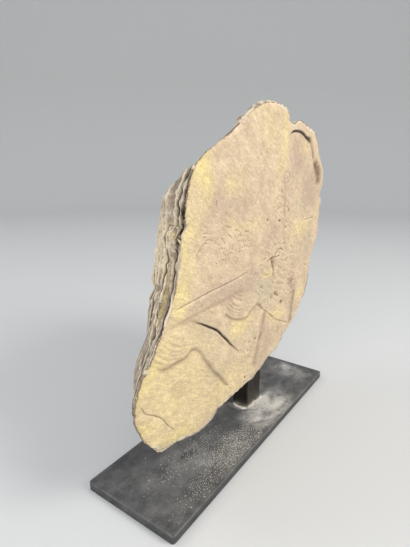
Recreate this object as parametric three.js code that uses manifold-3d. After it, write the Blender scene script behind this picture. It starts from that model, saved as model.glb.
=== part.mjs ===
// A broken sandstone slab carved in low relief, carried by a short bar on a flat plate.
// Millimetres. X runs along the plate, the carved face looks to -Y and +Z is up.
// The origin is the centre of the plate's underside.

import * as THREE from 'three';
import { mergeVertices } from 'three/addons/utils/BufferGeometryUtils.js';
import Module from 'manifold-3d';

const wasm = await Module();
wasm.setup();

// ---------------------------------------------------------------- driving dimensions

const PLATE = { length: 640, width: 200, thickness: 16, cornerRadius: 6, edgeBevel: 1 };
const POST = { centreX: 80, width: 60, depth: 40, top: 114, cornerRadius: 1.5 };
const SLAB = { faceY: -34, edgeStep: 13, edgeRoughness: 1.1, bedRoughness: 1.8 };
const CLEARANCE = 0.3; // between two pieces that touch
const PROUD = 3; // how far a cutter starts in front of the face it cuts

// A carved line's cutter: the distance between its stations and how few there may be, how far
// its lowest part leans to the wider side, and the depth that its thin ends keep.
const FURROW = { spacing: 16, fewestStations: 6, lean: 0.1, leastDepth: 0.05 };

// The slab's front edge, clockwise from the upper left as the carved face is seen.
// Each row is a corner and the edge that leaves it: x, z, how far that edge bows outwards,
// and how far the back's edge lies inside the front's at this corner.
const EDGE_CORNERS = [
  [-179, 558, 3, 52],
  [-150, 590, 1, 60],
  [-66, 627, 1, 56],
  [-29, 659, 2, 66],
  [24, 679, 2, 60],
  [80, 692, 1, 32],
  [118, 692, 1, 20],
  [160, 685, 2, 14],
  [175, 666, -1, 14],
  [200, 656, 1, 40],
  [226, 668, 2, 48],
  [250, 664, 2, 36],
  [300, 647, 3, 22],
  [350, 610, 1, 20],
  [354, 591, -1, 20],
  [398, 557, 2, 22],
  [402, 522, 1, 20],
  [400, 505, 0, 16],
  [385, 490, 0, 12],
  [400, 474, 0, 16],
  [396, 430, 0, 18],
  [390, 416, 0, 14],
  [397, 395, 1, 18],
  [397, 382, -2, 20],
  [353, 325, 0, 18],
  [350, 300, 2, 16],
  [340, 250, 3, 18],
  [309, 209, 1, 22],
  [259, 172, 2, 22],
  [225, 161, 0, 20],
  [200, 151, 0, 18],
  [194, 142, 1, 16],
  [162, 126, 0, 14],
  [122, 120, 0, 12],
  [81, 105, 1, 10],
  [44, 100, -1, 10],
  [-94, 96, 0, 14],
  [-109, 87, 1, 18],
  [-144, 83, 1, 22],
  [-173, 85, 0, 26],
  [-209, 96, 0, 32],
  [-265, 106, 2, 36],
  [-306, 148, 2, 68],
  [-330, 200, 3, 86],
  [-326, 228, 1, 90],
  [-306, 259, -1, 82],
  [-276, 294, -1, 56],
  [-235, 350, 2, 25],
  [-221, 380, 1, 18],
  [-210, 428, 0, 19],
  [-208, 467, 0, 35],
  [-193, 479, 0, 26],
  [-197, 502, 1, 42],
  [-187, 538, 1, 46],
];

// The slab narrows towards this line through its middle.
const SPINE = [new THREE.Vector2(-130, 300), new THREE.Vector2(210, 420)];

// The bedding layers, front to back: depth behind the face, and the share of the back's
// inset that the edge has there, where the side is full and where it slopes.
const BEDS = [
  [0, 0, 0],
  [9, 0, 0.12],
  [13, 0.02, 0.2],
  [17, 0.08, 0.26],
  [24, 0.05, 0.36],
  [36, 0.14, 0.52],
  [50, 0.34, 0.72],
  [64, 0.78, 0.92],
  [70, 1.06, 1.02],
];
const SLOPING_INSET = { from: 30, to: 64 }; // insets where the side begins to slope and fully does

// On the broken left side the skin stands proud of a soft layer.
const SOFT_LAYER = { bed: 3, recess: 9, from: -150, to: -190 };

// ---------------------------------------------------------------- small helpers

/** A repeatable number from -1 to 1 for a whole number. */
function scatter(seed) {
  const wave = Math.sin(seed * 127.1 + 11.7) * 43758.5453;
  return 2 * (wave - Math.floor(wave)) - 1;
}

/** A closed solid from corner positions and triangles, turned to face outwards. */
function solid(points, triangles) {
  let volume = 0;
  for (const [a, b, c] of triangles) {
    volume += points[a].dot(points[b].clone().cross(points[c]));
  }
  const order = volume < 0 ? ([a, b, c]) => [a, c, b] : (triangle) => triangle;
  return new wasm.Manifold(new wasm.Mesh({
    numProp: 3,
    vertProperties: new Float32Array(points.flatMap((point) => point.toArray())),
    triVerts: new Uint32Array(triangles.flatMap(order)),
  }));
}

/** A solid from a three.js geometry in its own place. */
function solidFrom(geometry) {
  geometry.deleteAttribute('normal');
  geometry.deleteAttribute('uv');
  const merged = mergeVertices(geometry);
  return new wasm.Manifold(new wasm.Mesh({
    numProp: 3,
    vertProperties: new Float32Array(merged.attributes.position.array),
    triVerts: new Uint32Array(merged.index.array),
  }));
}

/** A skin over rings of equally many points, closed by the same cap at both ends. */
function loft(rings, cap) {
  const count = rings[0].length;
  const triangles = [];
  for (let ring = 0; ring + 1 < rings.length; ring += 1) {
    for (let i = 0; i < count; i += 1) {
      const next = (i + 1) % count;
      const [a, b] = [ring * count + i, ring * count + next];
      triangles.push([a, b, b + count], [a, b + count, a + count]);
    }
  }
  const last = (rings.length - 1) * count;
  for (const [a, b, c] of cap) {
    triangles.push([a, c, b], [a + last, b + last, c + last]);
  }
  return solid(rings.flat(), triangles);
}

/** A named mesh of a solid. */
function meshOf(name, body, material) {
  const { numProp, vertProperties, triVerts } = body.getMesh();
  const geometry = new THREE.BufferGeometry();
  const positions = new Float32Array(triVerts.length * 3);
  triVerts.forEach((vertex, i) => {
    positions.set(vertProperties.subarray(vertex * numProp, vertex * numProp + 3), i * 3);
  });
  geometry.setAttribute('position', new THREE.BufferAttribute(positions, 3));
  geometry.computeVertexNormals();
  const mesh = new THREE.Mesh(geometry, material);
  mesh.name = name;
  return mesh;
}

/** A rectangle with round corners, centred on the origin. */
function roundRectangle(width, height, radius) {
  const [x, y] = [width / 2 - radius, height / 2 - radius];
  return new THREE.Shape()
    .absarc(x, y, radius, 0, Math.PI / 2)
    .absarc(-x, y, radius, Math.PI / 2, Math.PI)
    .absarc(-x, -y, radius, Math.PI, Math.PI * 1.5)
    .absarc(x, -y, radius, Math.PI * 1.5, Math.PI * 2);
}

// ---------------------------------------------------------------- the slab's blank

/** The front edge's points, with a small break at each, as Vector2 of x and z. */
function frontEdge() {
  const edge = [];
  EDGE_CORNERS.forEach(([x, z, bow], row) => {
    const [nextX, nextZ] = EDGE_CORNERS[(row + 1) % EDGE_CORNERS.length];
    const start = new THREE.Vector2(x, z);
    const along = new THREE.Vector2(nextX, nextZ).sub(start);
    const outward = new THREE.Vector2(-along.y, along.x).normalize();
    const steps = Math.max(1, Math.round(along.length() / SLAB.edgeStep));
    for (let i = 0; i < steps; i += 1) {
      const share = i / steps;
      const bowed = 4 * bow * share * (1 - share);
      const broken = SLAB.edgeRoughness * scatter(edge.length);
      const point = start.clone().addScaledVector(along, share);
      edge.push({
        point: point.addScaledVector(outward, bowed + broken),
        inset: THREE.MathUtils.lerp(
          EDGE_CORNERS[row][3],
          EDGE_CORNERS[(row + 1) % EDGE_CORNERS.length][3],
          share,
        ),
      });
    }
  });
  return edge;
}

/** The direction from a point of the edge to the nearest point of the spine. */
function inwards(point) {
  const [start, end] = SPINE;
  const along = end.clone().sub(start);
  const share = point.clone().sub(start).dot(along) / along.lengthSq();
  const nearest = start.clone().addScaledVector(along, THREE.MathUtils.clamp(share, 0, 1));
  return nearest.sub(point).normalize();
}

/** How far inside the front edge the slab's side lies at a bed. */
function sideInset(bed, inset, x) {
  const [, full, sloping] = BEDS[bed];
  const slope = THREE.MathUtils.smoothstep(inset, SLOPING_INSET.from, SLOPING_INSET.to);
  const broken = THREE.MathUtils.smoothstep(-x, -SOFT_LAYER.from, -SOFT_LAYER.to);
  const recess = bed === SOFT_LAYER.bed ? SOFT_LAYER.recess * broken * (1 - slope) : 0;
  return inset * THREE.MathUtils.lerp(full, sloping, slope) + recess;
}

function slabBlank() {
  const edge = frontEdge();
  const rings = BEDS.map(([depth], bed) => edge.map(({ point, inset }, i) => {
    const step = bed > 1 ? SLAB.bedRoughness * scatter(i * BEDS.length + bed) : 0;
    const shift = sideInset(bed, inset, point.x) + step;
    const shifted = point.clone().addScaledVector(inwards(point), shift);
    return new THREE.Vector3(shifted.x, SLAB.faceY + depth, shifted.y);
  }));
  // The edge runs clockwise and triangulateShape's triangles don't, so they are turned round.
  const outline = edge.map(({ point }) => point);
  const cap = THREE.ShapeUtils.triangulateShape(outline, []).map(([a, b, c]) => [a, c, b]);
  return loft(rings, cap);
}

// ---------------------------------------------------------------- the carving

/**
 * A cutter for a carved line on the face. The line is given by points [x, z]; left and right
 * are how far its sides reach, seen along the line, and depth is its lowest part's depth
 * halfway. It tapers to nothing at both ends. Spacing is the length between its stations.
 */
function furrow({ line, left, right, depth, spacing = FURROW.spacing }) {
  const points = line.map(([x, z]) => new THREE.Vector3(x, 0, z));
  const curve = new THREE.CatmullRomCurve3(points, false, 'centripetal');
  const steps = Math.round(curve.getLength() / spacing);
  const stations = Math.max(FURROW.fewestStations, steps);
  const rings = [];
  for (let i = 0; i <= stations; i += 1) {
    const t = i / stations;
    const centre = curve.getPointAt(t);
    const tangent = curve.getTangentAt(t);
    const leftward = new THREE.Vector3(-tangent.z, 0, tangent.x);
    const size = Math.sqrt(Math.sin(Math.PI * t));
    const slope = (PROUD + depth * size) / Math.max(depth, 1);
    const place = (across, behind) => centre.clone()
      .addScaledVector(leftward, across)
      .setY(SLAB.faceY + behind);
    rings.push([
      place(left * slope, -PROUD),
      place((left - right) * FURROW.lean, Math.max(depth * size, FURROW.leastDepth)),
      place(-right * slope, -PROUD),
    ]);
  }
  return loft(rings, [[0, 1, 2]]);
}

/** A cutter for a pit: a squashed ball, long along a turned axis. */
function pit({ x, z, length, width, depth, turn = 0 }) {
  const ball = new THREE.IcosahedronGeometry(1, 1);
  ball.scale(length / 2, depth, width / 2);
  ball.rotateY(-turn);
  ball.translate(x, SLAB.faceY, z);
  return solidFrom(ball);
}

/** A flake off the front edge: a slanting box along a line of two points. */
function flake({ from, to, width, depth }) {
  const along = new THREE.Vector2(to[0] - from[0], to[1] - from[1]);
  const box = new THREE.BoxGeometry(along.length(), depth * 2, width * 2);
  box.rotateY(-along.angle());
  box.translate((from[0] + to[0]) / 2, SLAB.faceY, (from[1] + to[1]) / 2);
  return solidFrom(box);
}

// The long sickle-shaped cut, its lower side steep.
const SICKLE_CUT = {
  line: [[-190, 317], [-126, 284], [-82, 252], [-50, 221], [-13, 188]],
  left: 3,
  right: 3,
  depth: 8,
};

// The thin line across the left half, and the soft step under it.
const BAND_LINES = [
  { line: [[-238, 346], [-150, 353], [-50, 356], [32, 361]], left: 1.2, right: 1.2, depth: 1.4 },
  { line: [[-246, 322], [-120, 324], [4, 325]], left: 2, right: 9, depth: 1.4 },
];

// Each group of folds hangs over a boundary, with lines side by side above it.
const LEFT_FOLDS = {
  boundary: [
    [-279, 273], [-247, 254], [-200, 253], [-173, 259], [-147, 234],
    [-115, 193], [-73, 147], [-50, 125],
  ],
  folds: [[-275, 280], [-250, 262], [-223, 259], [-190, 262]],
  lift: [5, 9],
  count: 3,
};
const RIGHT_FOLDS = {
  boundary: [
    [-79, 297], [-53, 279], [-9, 263], [25, 270], [56, 277],
    [84, 256], [138, 219], [188, 192], [225, 172],
  ],
  folds: [[-62, 298], [-38, 283], [-8, 274], [20, 279]],
  lift: [2, 9],
  count: 3,
};

/** The boundary of a group of folds, and the lines above it. */
function foldGroup({ boundary, folds, lift, count }) {
  const cuts = [{ line: boundary, left: 2, right: 12, depth: 2.2 }];
  for (let i = 0; i < count; i += 1) {
    const line = folds.map(([x, z]) => [x + i * lift[0], z + i * lift[1]]);
    cuts.push({ line, left: 1.5, right: 3, depth: 1.3 });
  }
  return cuts;
}

// The arch's inner side, deep under its crown, and the hollow below its right limb.
const ARCH = {
  line: [[156, 606], [175, 627], [205, 638], [240, 639], [272, 629], [302, 614], [322, 578]],
  left: 2,
  right: 16,
  depth: 6,
};
const HOLLOW = { x: 350, z: 546, length: 66, width: 32, depth: 8, turn: -0.85 };

/** A spiral's line of points [x, z], from its outer end inwards. */
function volute({ x, z, outer, inner, turns, begin, count }) {
  return Array.from({ length: count + 1 }, (_, i) => {
    const share = i / count;
    const reach = outer + (inner - outer) * share;
    const angle = begin - 2 * Math.PI * turns * share;
    return [x + reach * Math.cos(angle), z + reach * Math.sin(angle)];
  });
}

// The worn scroll under the arch, a plain volute of the maker's own design.
const SCROLL_LINE = volute({
  x: 175,
  z: 540,
  outer: 20,
  inner: 6,
  turns: 1.15,
  begin: -2.1,
  count: 16,
});
const SCROLL = { line: SCROLL_LINE, left: 2, right: 2, depth: 1.6, spacing: 7 };

// Worn lines: the fold in the middle, the ledges at right and the crack near the foot.
const WORN_LINES = [
  { line: [[90, 232], [64, 176], [38, 118]], left: 6, right: 9, depth: 1.6 },
  { line: [[284, 434], [325, 435], [356, 434]], left: 1.5, right: 4, depth: 1.5 },
  { line: [[-311, 214], [-279, 184], [-250, 150], [-227, 121]], left: 1.2, right: 1.6, depth: 1.6 },
];

const PITS = [
  { x: 109, z: 364, length: 26, width: 13, depth: 6, turn: -0.2 },
  { x: 122, z: 347, length: 9, width: 34, depth: 3 },
  { x: 144, z: 274, length: 20, width: 12, depth: 4, turn: 0.5 },
  { x: 173, z: 248, length: 14, width: 11, depth: 4 },
  { x: 194, z: 469, length: 12, width: 9, depth: 3 },
  { x: 179, z: 430, length: 11, width: 8, depth: 3 },
];

const FLAKES = [
  { from: [-70, 640], to: [8, 684], width: 13, depth: 8 },
  { from: [412, 489], to: [392, 492], width: 7, depth: 14 },
];

/** The flat housing in the underside that the post's top fits. */
function postHousing() {
  const height = 80;
  const box = new THREE.BoxGeometry(
    POST.width + 2 * CLEARANCE,
    POST.depth + 2 * CLEARANCE,
    height,
  );
  box.translate(POST.centreX, 0, POST.top + CLEARANCE - height / 2);
  return solidFrom(box);
}

function reliefSlab() {
  const cuts = [
    ...[SICKLE_CUT, ARCH, ...BAND_LINES, ...WORN_LINES, SCROLL].map(furrow),
    ...foldGroup(LEFT_FOLDS).map(furrow),
    ...foldGroup(RIGHT_FOLDS).map(furrow),
    ...[HOLLOW, ...PITS].map(pit),
    ...FLAKES.map(flake),
    postHousing(),
  ];
  const sandstone = new THREE.MeshStandardMaterial({ color: '#d3bd98', roughness: 0.95 });
  const body = cuts.reduce((rest, cut) => rest.subtract(cut), slabBlank());
  return meshOf('relief_slab', body, sandstone);
}

// ---------------------------------------------------------------- the stand

function basePlate() {
  const { length, width, thickness, cornerRadius, edgeBevel } = PLATE;
  const inset = 2 * edgeBevel;
  const outline = roundRectangle(length - inset, width - inset, cornerRadius);
  const geometry = new THREE.ExtrudeGeometry(outline, {
    depth: thickness - inset,
    bevelSize: edgeBevel,
    bevelThickness: edgeBevel,
    bevelSegments: 2,
    curveSegments: 5,
  });
  geometry.translate(0, 0, edgeBevel);
  const blackenedSteel = new THREE.MeshStandardMaterial({
    color: '#47464a',
    roughness: 0.6,
    metalness: 0.4,
  });
  return meshOf('base_plate', solidFrom(geometry), blackenedSteel);
}

function post() {
  const { centreX, width, depth, top, cornerRadius } = POST;
  const foot = PLATE.thickness + CLEARANCE;
  const geometry = new THREE.ExtrudeGeometry(roundRectangle(width, depth, cornerRadius), {
    depth: top - foot,
    bevelEnabled: false,
    curveSegments: 3,
  });
  geometry.translate(centreX, 0, foot);
  const darkBronze = new THREE.MeshStandardMaterial({
    color: '#37332c',
    roughness: 0.5,
    metalness: 0.5,
  });
  return meshOf('post', solidFrom(geometry), darkBronze);
}

const panel = new THREE.Group();
panel.add(basePlate(), post(), reliefSlab());

export default panel;
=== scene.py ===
"""A carved sandstone fragment on its stand: the looks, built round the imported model.

Lengths in the tables are millimetres, Blender's are metres. The carving is laid out on the
slab's face from the lower left corner of the slab's box: x to the right, z upwards.
"""
import math

import bmesh
import bpy
import numpy as np
from mathutils import Matrix, Vector


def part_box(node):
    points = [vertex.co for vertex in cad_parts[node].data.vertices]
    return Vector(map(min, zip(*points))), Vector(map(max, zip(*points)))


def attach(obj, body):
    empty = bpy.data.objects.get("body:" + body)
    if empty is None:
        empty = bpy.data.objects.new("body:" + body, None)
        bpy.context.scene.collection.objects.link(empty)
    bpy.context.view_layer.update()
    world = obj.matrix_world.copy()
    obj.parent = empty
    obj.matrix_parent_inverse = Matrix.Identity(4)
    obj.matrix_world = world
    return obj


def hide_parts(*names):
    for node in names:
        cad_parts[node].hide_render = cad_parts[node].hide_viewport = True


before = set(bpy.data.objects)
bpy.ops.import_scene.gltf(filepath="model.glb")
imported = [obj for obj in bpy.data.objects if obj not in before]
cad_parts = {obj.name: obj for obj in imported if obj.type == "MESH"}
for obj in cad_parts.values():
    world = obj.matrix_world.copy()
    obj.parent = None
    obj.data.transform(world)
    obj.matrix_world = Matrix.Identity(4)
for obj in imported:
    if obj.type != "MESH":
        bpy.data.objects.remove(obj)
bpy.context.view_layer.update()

MM = 0.001
SLAB_LOW, SLAB_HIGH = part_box("relief_slab")
POST_LOW, POST_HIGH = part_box("post")
PLATE_LOW, PLATE_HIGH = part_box("base_plate")
POST_AXIS = ((POST_LOW.x + POST_HIGH.x) / 2, (POST_LOW.y + POST_HIGH.y) / 2)

# ------------------------------------------------------------------ camera, light, floor

# The camera's place in metres and its turns in degrees.
CAMERA = {"place": (-0.707, -0.431, 0.585), "azimuth": -54.79, "elevation": 15.69, "roll": 0.24}
LENS_MM = 27.24

# Each light's name, place in metres, size in metres, watts and colour.
LIGHTS = [
    ("key", (0.65, -2.75, 2.5), 1.4, 81, (1.0, 0.97, 0.92)),
    ("back", (-1.3, 2.9, 2.9), 1.8, 26, (0.97, 0.98, 1.0)),
    ("fill", (-2.4, -0.4, 1.5), 1.6, 27, (0.95, 0.97, 1.0)),
]
SKY_COLOUR = (0.9, 0.94, 1, 1)
SKY_STRENGTH = 0.72
FLOOR_COLOUR = (0.62, 0.62, 0.61, 1)
# The floor, in metres: a disc, and the quarter bend and the wall round it.
FLOOR = {"radius": 4.0, "sweep": 1.6, "height": 3.2, "turns": 72, "bends": 12}


def add_camera():
    """A camera that looks down on the carved face from its left."""
    azimuth, elevation, roll = (
        math.radians(CAMERA[key]) for key in ("azimuth", "elevation", "roll")
    )
    back = Vector((
        math.sin(azimuth) * math.cos(elevation),
        -math.cos(azimuth) * math.cos(elevation),
        math.sin(elevation),
    ))
    right = Vector((0, 0, 1)).cross(back).normalized()
    turn = Matrix((right, back.cross(right), back)).transposed()
    camera = bpy.data.objects.new("camera", bpy.data.cameras.new("camera"))
    camera.data.lens = LENS_MM
    camera.data.clip_start = 0.01
    place = Matrix.Translation(CAMERA["place"])
    camera.matrix_world = place @ turn.to_4x4() @ Matrix.Rotation(roll, 4, "Z")
    bpy.context.collection.objects.link(camera)
    bpy.context.scene.camera = camera


def add_softbox(name, place, size, watts, colour):
    """A square area light at a place, turned to the slab's middle."""
    aim = (SLAB_LOW + SLAB_HIGH) / 2
    light = bpy.data.lights.new(name, "AREA")
    light.size = size
    light.energy = watts
    light.color = colour
    box = bpy.data.objects.new(name, light)
    box.location = place
    box.rotation_euler = (aim - Vector(place)).to_track_quat("-Z", "Y").to_euler()
    bpy.context.collection.objects.link(box)


def add_studio():
    """Soft light from the front and above, weaker ones, and a pale floor that curves up."""
    for light in LIGHTS:
        add_softbox(*light)
    world = bpy.data.worlds.new("studio")
    world.use_nodes = True
    sky = world.node_tree.nodes["Background"]
    sky.inputs["Color"].default_value = SKY_COLOUR
    sky.inputs["Strength"].default_value = SKY_STRENGTH
    bpy.context.scene.world = world
    bpy.context.scene.view_settings.view_transform = "Standard"

    radius, sweep = FLOOR["radius"], FLOOR["sweep"]
    profile = [(0, 0), (radius, 0)]
    for bend in range(1, FLOOR["bends"] + 1):
        angle = math.pi / 2 * bend / FLOOR["bends"]
        profile.append((radius + sweep * math.sin(angle), sweep * (1 - math.cos(angle))))
    profile.append((radius + sweep, FLOOR["height"]))
    mesh = bmesh.new()
    rim = [mesh.verts.new((r, 0, z)) for r, z in profile]
    edges = [mesh.edges.new(pair) for pair in zip(rim, rim[1:])]
    bmesh.ops.spin(
        mesh, geom=rim + edges, cent=(0, 0, 0), axis=(0, 0, 1),
        angle=2 * math.pi, steps=FLOOR["turns"], use_merge=True,
    )
    bmesh.ops.remove_doubles(mesh, verts=mesh.verts, dist=1e-5)
    bmesh.ops.recalc_face_normals(mesh, faces=mesh.faces)
    bmesh.ops.reverse_faces(mesh, faces=mesh.faces)
    floor = mesh_object("floor", mesh, smooth=True)
    floor.data.transform(Matrix.Translation((0, 0, PLATE_LOW.z - 0.2 * MM)))
    paint = Paint("pale_floor")
    paint.shader.inputs["Base Color"].default_value = FLOOR_COLOUR
    paint.shader.inputs["Roughness"].default_value = 0.9
    floor.data.materials.append(paint.material)


# ------------------------------------------------------------------ helpers

def mesh_object(name, mesh, smooth=False):
    """A linked object at the origin from a bmesh, which is freed."""
    data = bpy.data.meshes.new(name)
    mesh.to_mesh(data)
    mesh.free()
    if smooth:
        data.shade_smooth()
    made = bpy.data.objects.new(name, data)
    bpy.context.collection.objects.link(made)
    return made


def finished(made, *steps):
    """The object with the modifiers that the steps describe applied to its mesh."""
    for kind, settings in steps:
        modifier = made.modifiers.new(kind, kind)
        for key, value in settings.items():
            setattr(modifier, key, value)
    bpy.context.view_layer.update()
    graph = bpy.context.evaluated_depsgraph_get()
    data = bpy.data.meshes.new_from_object(made.evaluated_get(graph))
    made.modifiers.clear()
    made.data = data
    return made


def corners(data):
    """The mesh's vertices as an array, in metres."""
    flat = np.empty(len(data.vertices) * 3, np.float32)
    data.vertices.foreach_get("co", flat)
    return flat.reshape(-1, 3).astype(float)


def move_corners(data, places):
    data.vertices.foreach_set("co", places.astype(np.float32).ravel())
    data.update()


def normals(data):
    flat = np.empty(len(data.vertices) * 3, np.float32)
    data.vertex_normals.foreach_get("vector", flat)
    return flat.reshape(-1, 3).astype(float)


def paint_on(data, name, values):
    """Stores one number a vertex for a material to read."""
    layer = data.attributes.new(name, "FLOAT", "POINT")
    layer.data.foreach_set("value", np.clip(values, 0, 1).astype(np.float32))


def ramp(values, low, high):
    """0 below low, 1 above high, and smooth between."""
    share = np.clip((values - low) / (high - low), 0, 1)
    return share * share * (3 - 2 * share)


def lattice(cells, seed):
    """A repeatable number from -1 to 1 for each whole-numbered cell."""
    mixed = cells[:, 0] * 374761393 + cells[:, 1] * 668265263 + cells[:, 2] * 2147483647
    mixed = (mixed + seed * 1442695041) & 0xFFFFFFFF
    mixed = ((mixed ^ (mixed >> 13)) * 1274126177) & 0xFFFFFFFF
    return ((mixed ^ (mixed >> 16)) & 0xFFFFFF) / 0x7FFFFF - 1


def rough(points, size, seed):
    """Smooth noise from -1 to 1 over points in millimetres; size is a lump's, or x, y, z."""
    scaled = points / np.broadcast_to(np.asarray(size, float), (3,))
    whole = np.floor(scaled).astype(np.int64)
    part = scaled - whole
    part = part * part * part * (part * (part * 6 - 15) + 10)
    total = np.zeros(len(points))
    for corner in range(8):
        step = np.array([corner & 1, corner >> 1 & 1, corner >> 2 & 1])
        weight = np.prod(np.where(step, part, 1 - part), axis=1)
        total += weight * lattice(whole + step, seed)
    return total


def layered(points, size, seed, octaves=3):
    """Noise of several sizes, each half the one before."""
    total = np.zeros(len(points))
    for octave in range(octaves):
        total += rough(points, np.asarray(size) / 2 ** octave, seed + octave) / 2 ** octave
    return total / 1.6


# ------------------------------------------------------------------ the carving's layout

def smooth_line(points, spacing=4.0):
    """Points along a curve through the given ones, about evenly spaced."""
    given = np.array(points, float)
    padded = np.vstack([2 * given[0] - given[1], given, 2 * given[-1] - given[-2]])
    made = [given[0]]
    for p0, p1, p2, p3 in zip(padded, padded[1:], padded[2:], padded[3:]):
        steps = max(1, int(round(np.linalg.norm(p2 - p1) / spacing)))
        for t in np.arange(1, steps + 1) / steps:
            made.append(0.5 * (
                2 * p1 + (p2 - p0) * t + (2 * p0 - 5 * p1 + 4 * p2 - p3) * t * t
                + (3 * p1 - p0 - 3 * p2 + p3) * t ** 3
            ))
    return np.array(made)


def beside(points, line):
    """Each point's distance from a line, positive on its left, and its share of the way."""
    nearest = np.full(len(points), 1e9)
    across = np.full(len(points), 1e9)
    share = np.zeros(len(points))
    lengths = np.linalg.norm(np.diff(line, axis=0), axis=1)
    starts = np.concatenate([[0], np.cumsum(lengths)])
    for start, end, length, done in zip(line, line[1:], lengths, starts):
        along = (end - start) / length
        off = points - start
        t = np.clip(off @ along, 0, length)
        off = off - t[:, None] * along
        distance = np.hypot(off[:, 0], off[:, 1])
        closer = distance < nearest
        left = along[0] * off[:, 1] - along[1] * off[:, 0] >= 0
        nearest = np.where(closer, distance, nearest)
        across = np.where(closer, np.where(left, distance, -distance), across)
        share = np.where(closer, (done + t) / starts[-1], share)
    return across, share


def near(points, line, reach):
    """Which points lie in a line's box, widened by a reach."""
    low, high = line.min(0) - reach, line.max(0) + reach
    return np.all((points > low) & (points < high), axis=1)


def taper(share, ends=0.14):
    return ramp(share, 0, ends) * ramp(1 - share, 0, ends)


def groove(points, line, width, depth, ends=0.14):
    """A rounded V along a line. A negative depth makes a ridge."""
    height = np.zeros(len(points))
    line = smooth_line(line)
    close = near(points, line, 3 * width)
    across, share = beside(points[close], line)
    strength = taper(share, ends)
    across /= width * (0.25 + 0.75 * strength)
    height[close] = -depth * np.exp(-across ** 2) * strength
    return height


def step(points, line, drop, reach, edge=1.2, lip=0.0, ends=0.14):
    """A drop on the right of a line that comes back over a reach, with a lip on its left."""
    height = np.zeros(len(points))
    line = smooth_line(line)
    close = near(points, line, 3.5 * reach)
    across, share = beside(points[close], line)
    low_side = 1 / (1 + np.exp(np.clip(across / edge, -30, 30)))
    fall = -drop * low_side * np.exp(-np.maximum(-across, 0) / reach)
    rise = lip * (1 - low_side) * np.exp(-np.maximum(across, 0) / (3 * edge))
    height[close] = (fall + rise) * taper(share, ends)
    return height


def patch(points, x, z, width, height, turn=0.0, edge=2.0):
    """1 at the middle of a turned oval, falling to 0 round it. A high edge makes it flat."""
    off = points - (x, z)
    cosine, sine = math.cos(turn), math.sin(turn)
    u = (off[:, 0] * cosine + off[:, 1] * sine) / (width / 2)
    v = (off[:, 1] * cosine - off[:, 0] * sine) / (height / 2)
    return np.exp(-np.hypot(u, v) ** edge)


# The sickle-shaped cut, the deepest line of the carving: the cloth below it lies deeper.
SICKLE = [(132, 240), (150, 233), (180, 217), (204, 203), (230, 187), (250, 169), (266, 154),
          (282, 138), (302, 120), (324, 100)]

# A thin line and a soft step bound a plain band.
BAND_LINE = [(90, 264), (180, 271), (280, 274), (330, 277), (352, 276), (360, 280)]
BAND_STEP = [(80, 239), (130, 241), (180, 243), (230, 243), (290, 244), (340, 245)]

# The folds' lower boundaries, left and right.
LEFT_HEM = [(51, 191), (68, 177), (83, 172), (107, 172), (130, 171), (145, 177), (157, 177),
            (171, 169), (183, 152), (198, 133), (215, 111), (239, 86), (257, 65), (280, 43)]
RIGHT_HEM = [(251, 215), (262, 208), (277, 197), (298, 187), (321, 181), (343, 179), (355, 188),
             (371, 191), (386, 195), (402, 185), (414, 174)]
RIGHT_SEAM = [(380, 196), (402, 185), (414, 174), (430, 165), (449, 152), (466, 140), (480, 130),
              (500, 120), (520, 111), (538, 103), (560, 90)]

# The folds themselves, side by side above each hem.
LEFT_FOLDS = [
    [(46, 206), (58, 196), (70, 187), (84, 180), (100, 176), (118, 175)],
    [(54, 212), (66, 201), (78, 192), (92, 185), (107, 181), (124, 179)],
    [(60, 218), (74, 205), (86, 197), (98, 190), (112, 186), (128, 184)],
    [(70, 222), (82, 209), (94, 200), (106, 194), (118, 191), (128, 190)],
    [(84, 224), (94, 213), (106, 205), (117, 200), (126, 198)],
]
RIGHT_FOLDS = [
    [(252, 220), (262, 211), (275, 202), (290, 193), (305, 187), (322, 184)],
    [(258, 226), (270, 214), (283, 204), (297, 197), (313, 191), (330, 187)],
    [(252, 236), (264, 225), (277, 214), (291, 206), (306, 200), (322, 196)],
    [(262, 240), (274, 226), (287, 216), (301, 209), (318, 204), (332, 201)],
    [(274, 242), (286, 226), (300, 217), (316, 211)],
    [(280, 246), (292, 237), (307, 229), (325, 222)],
    [(300, 243), (312, 235), (328, 231)],
]

# The arch at the upper right, and the hollow that ends its right limb.
ARCH = [(492, 540), (505, 550), (520, 557), (535, 560), (555, 561), (575, 559), (592, 554),
        (608, 547), (622, 540), (634, 530)]
ARCH_LIMB = [(616, 545), (632, 530), (644, 512), (654, 496)]
ARCH_LEFT = [(488, 566), (482, 545), (480, 520), (484, 490), (488, 460)]

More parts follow.
